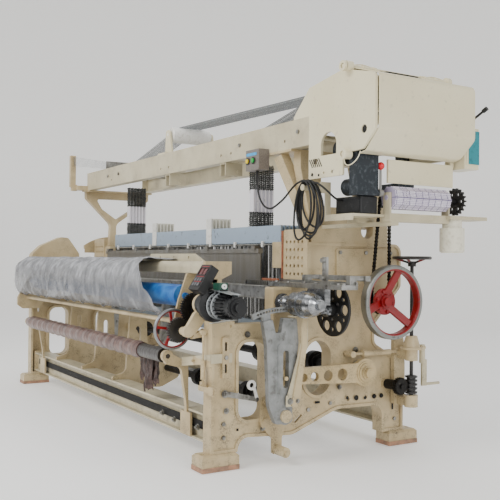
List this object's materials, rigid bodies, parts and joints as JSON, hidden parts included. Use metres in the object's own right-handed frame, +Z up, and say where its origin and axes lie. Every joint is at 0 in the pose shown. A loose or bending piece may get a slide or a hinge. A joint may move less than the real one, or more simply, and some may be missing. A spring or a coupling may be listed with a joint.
{
  "type": "power loom",
  "caption": "Wide rapier power loom: two cream side frames, arch with overhead dobby, heald frames, sley and reed, cloth rollers, drive levers, flywheel and let-off.",
  "frame": {"origin": "on the floor in the middle of the four floor pads' bolt holes", "axes": "+X across the cloth toward the dobby and flywheel side, +Y from the cloth side to the back, +Z up"},
  "size_m": [4.155, 1.549, 1.91],
  "materials": {
    "cream_paint": "cream machine enamel on castings, satin",
    "grey_stave": "grey-blue heald stave paint, satin",
    "bare_steel": "machined steel, oiled",
    "polished_aluminium": "polished cast aluminium",
    "black_steel": "blackened steel, oily",
    "red_wheel": "red spokes inside a grey steel rim",
    "dark_plastic": "dark moulded plastic",
    "grey_box": "grey-brown switch box enamel",
    "cream_plastic": "cream moulded plastic",
    "white_plastic": "white moulded plastic",
    "green_button": "green moulded plastic",
    "yellow_button": "yellow moulded plastic",
    "red_ball": "red moulded plastic knob on plated steel",
    "blue_rubber": "blue ribbed rubber sleeve",
    "brown_wrap": "brown paper and film wrapping",
    "clear_film": "cloudy polyethylene sheet",
    "pad_wood": "brown pads",
    "cord_grey": "grey harness cords",
    "black_rubber": "black cable sheath",
    "chain_steel": "oiled roller chain"
  },
  "bodies": {
    "machine": {"arch_beam_front": "cream_paint", "arch_beam_rear": "cream_paint", "breast_beam": "cream_paint", "cable_coil": "black_rubber", "centre_stands": "cream_paint", "cloth_roller_brackets": "cream_paint", "control_cabinet": "cream_paint", "dobby_frame": "cream_paint", "dobby_mechanism": "black_steel", "drive_chain": "chain_steel", "foot_pads": "pad_wood", "frame_bolts": "bare_steel", "front_lower_rail": "cream_paint", "gear_casing": "polished_aluminium", "harness_cords": "cord_grey", "heald_guides": "cream_paint", "keypad_box": "dark_plastic", "lead_cable": "black_rubber", "left_arch_stand": "cream_paint", "left_side_covers": "cream_paint", "left_side_frame": "cream_paint", "let_off_housing": "cream_paint", "lever_bracket": "cream_paint", "oil_jar": "cream_plastic", "protective_film": "clear_film", "rapier_rail": "bare_steel", "rear_lower_rail": "cream_paint", "right_arch_stand": "cream_paint", "right_side_frame": "cream_paint", "switch_box": "grey_box", "take_up_brackets": "cream_paint", "take_up_linkage": "bare_steel", "take_up_motor": "black_steel"},
    "flywheel": {"flywheel": "red_wheel"},
    "crank": {"crank_disc": "bare_steel"},
    "lever": {"rapier_lever": "cream_paint"},
    "rod": {"connecting_rod": "cream_paint"},
    "right_wheel": {"rapier_wheel": "black_steel"},
    "left_wheel": {"left_rapier_wheel": "black_steel"},
    "sley": {"sley": "bare_steel", "reed": "bare_steel"},
    "handwheel": {"take_up_handwheel": "red_wheel"},
    "idler": {"idler_gear": "black_steel"},
    "take_up": {"take_up_roller": "blue_rubber"},
    "cloth": {"cloth_roller": "brown_wrap"},
    "let_off": {"let_off_shaft": "red_wheel"},
    "let_off_gear": {"worm_gear": "black_steel"},
    "let_off_crank": {"crank_handle": "cream_paint"},
    "pattern": {"pattern_cylinder": "white_plastic"},
    "card": {"card_lever": "red_ball"},
    "green": {"green_button": "green_button"},
    "yellow": {"yellow_button": "yellow_button"},
    "cover": {"dobby_cover": "cream_paint"},
    "roller": {"guide_roller": "white_plastic"},
    "heald_1": {"heald_frame_1": "grey_stave"},
    "heald_2": {"heald_frame_2": "grey_stave"},
    "heald_3": {"heald_frame_3": "grey_stave"},
    "heald_4": {"heald_frame_4": "grey_stave"},
    "heald_5": {"heald_frame_5": "grey_stave"},
    "heald_6": {"heald_frame_6": "grey_stave"}
  },
  "joints": [
    {"name": "flywheel_spin", "type": "hinge", "parent": "machine", "child": "flywheel", "pos_m": [1.72, 0.348, 0.789], "axis": [1, 0, 0], "continuous": true},
    {"name": "crank_spin", "type": "hinge", "parent": "machine", "child": "crank", "pos_m": [1.58, 0.253, 0.42], "axis": [1, 0, 0], "continuous": true},
    {"name": "lever_swing", "type": "hinge", "parent": "machine", "child": "lever", "pos_m": [1.645, -0.272, 0.248], "axis": [1, 0, 0], "range_deg": [-8, 8]},
    {"name": "rod_pivot", "type": "hinge", "parent": "lever", "child": "rod", "pos_m": [1.613, -0.272, 0.43], "axis": [1, 0, 0], "range_deg": [-8, 8]},
    {"name": "right_wheel_spin", "type": "hinge", "parent": "machine", "child": "right_wheel", "pos_m": [1.76, -0.066, 0.765], "axis": [0, 1, 0], "range_deg": [-120, 120]},
    {"name": "left_wheel_spin", "type": "hinge", "parent": "machine", "child": "left_wheel", "pos_m": [-1.76, -0.066, 0.765], "axis": [0, 1, 0], "range_deg": [-120, 120]},
    {"name": "sley_swing", "type": "hinge", "parent": "machine", "child": "sley", "pos_m": [0, -0.152, 0.3], "axis": [1, 0, 0], "range_deg": [0, 14]},
    {"name": "handwheel_spin", "type": "hinge", "parent": "machine", "child": "handwheel", "pos_m": [1.29, -0.7, 0.655], "axis": [1, 0, 0], "continuous": true},
    {"name": "idler_spin", "type": "hinge", "parent": "machine", "child": "idler", "pos_m": [1.355, -0.61258, 0.75918], "axis": [1, 0, 0], "continuous": true},
    {"name": "take_up_spin", "type": "hinge", "parent": "machine", "child": "take_up", "pos_m": [0, -0.622, 0.818], "axis": [1, 0, 0], "continuous": true},
    {"name": "cloth_spin", "type": "hinge", "parent": "machine", "child": "cloth", "pos_m": [0, -0.7, 0.515], "axis": [1, 0, 0], "continuous": true},
    {"name": "let_off_spin", "type": "hinge", "parent": "machine", "child": "let_off", "pos_m": [1.656, 0.543, 0.6], "axis": [0, 0, 1], "continuous": true},
    {"name": "let_off_gear_spin", "type": "hinge", "parent": "machine", "child": "let_off_gear", "pos_m": [1.656, 0.463, 0.337], "axis": [1, 0, 0], "continuous": true},
    {"name": "let_off_crank_swing", "type": "hinge", "parent": "machine", "child": "let_off_crank", "pos_m": [1.656, 0.621, 0.5], "axis": [0, 0, 1], "range_deg": [-45, 45]},
    {"name": "pattern_spin", "type": "hinge", "parent": "machine", "child": "pattern", "pos_m": [2.045, 0.208, 1.295], "axis": [0, 1, 0], "continuous": true},
    {"name": "card_lever_swing", "type": "hinge", "parent": "machine", "child": "card", "pos_m": [2.035, -0.01, 1.315], "axis": [0, 1, 0], "range_deg": [-20, 20]},
    {"name": "cover_lift", "type": "hinge", "parent": "machine", "child": "cover", "pos_m": [1.994, 0.138, 1.893], "axis": [0, -1, 0], "range_deg": [0, 70]},
    {"name": "roller_spin", "type": "hinge", "parent": "machine", "child": "roller", "pos_m": [-0.025, 0.051, 1.846], "axis": [0, 1, 0], "continuous": true},
    {"name": "green_press", "type": "slide", "parent": "machine", "child": "green", "axis": [0, 1, 0], "range_m": [0, 0.004], "stiffness_N_per_m": 600},
    {"name": "yellow_press", "type": "slide", "parent": "machine", "child": "yellow", "axis": [0, 1, 0], "range_m": [0, 0.004], "stiffness_N_per_m": 600},
    {"name": "heald_1_lift", "type": "slide", "parent": "machine", "child": "heald_1", "axis": [0, 0, 1], "range_m": [-0.045, 0.045]},
    {"name": "heald_2_lift", "type": "slide", "parent": "machine", "child": "heald_2", "axis": [0, 0, 1], "range_m": [-0.045, 0.045]},
    {"name": "heald_3_lift", "type": "slide", "parent": "machine", "child": "heald_3", "axis": [0, 0, 1], "range_m": [-0.045, 0.045]},
    {"name": "heald_4_lift", "type": "slide", "parent": "machine", "child": "heald_4", "axis": [0, 0, 1], "range_m": [-0.045, 0.045]},
    {"name": "heald_5_lift", "type": "slide", "parent": "machine", "child": "heald_5", "axis": [0, 0, 1], "range_m": [-0.045, 0.045]},
    {"name": "heald_6_lift", "type": "slide", "parent": "machine", "child": "heald_6", "axis": [0, 0, 1], "range_m": [-0.045, 0.045]}
  ],
  "couplings": [
    {"joint": "crank_spin", "follows": "flywheel_spin", "ratio": -1},
    {"joint": "rod_pivot", "follows": "lever_swing", "ratio": -1},
    {"joint": "right_wheel_spin", "follows": "lever_swing", "ratio": 15},
    {"joint": "left_wheel_spin", "follows": "lever_swing", "ratio": -15},
    {"joint": "idler_spin", "follows": "handwheel_spin", "ratio": -0.78947},
    {"joint": "let_off_gear_spin", "follows": "let_off_spin", "ratio": 0.045455}
  ]
}
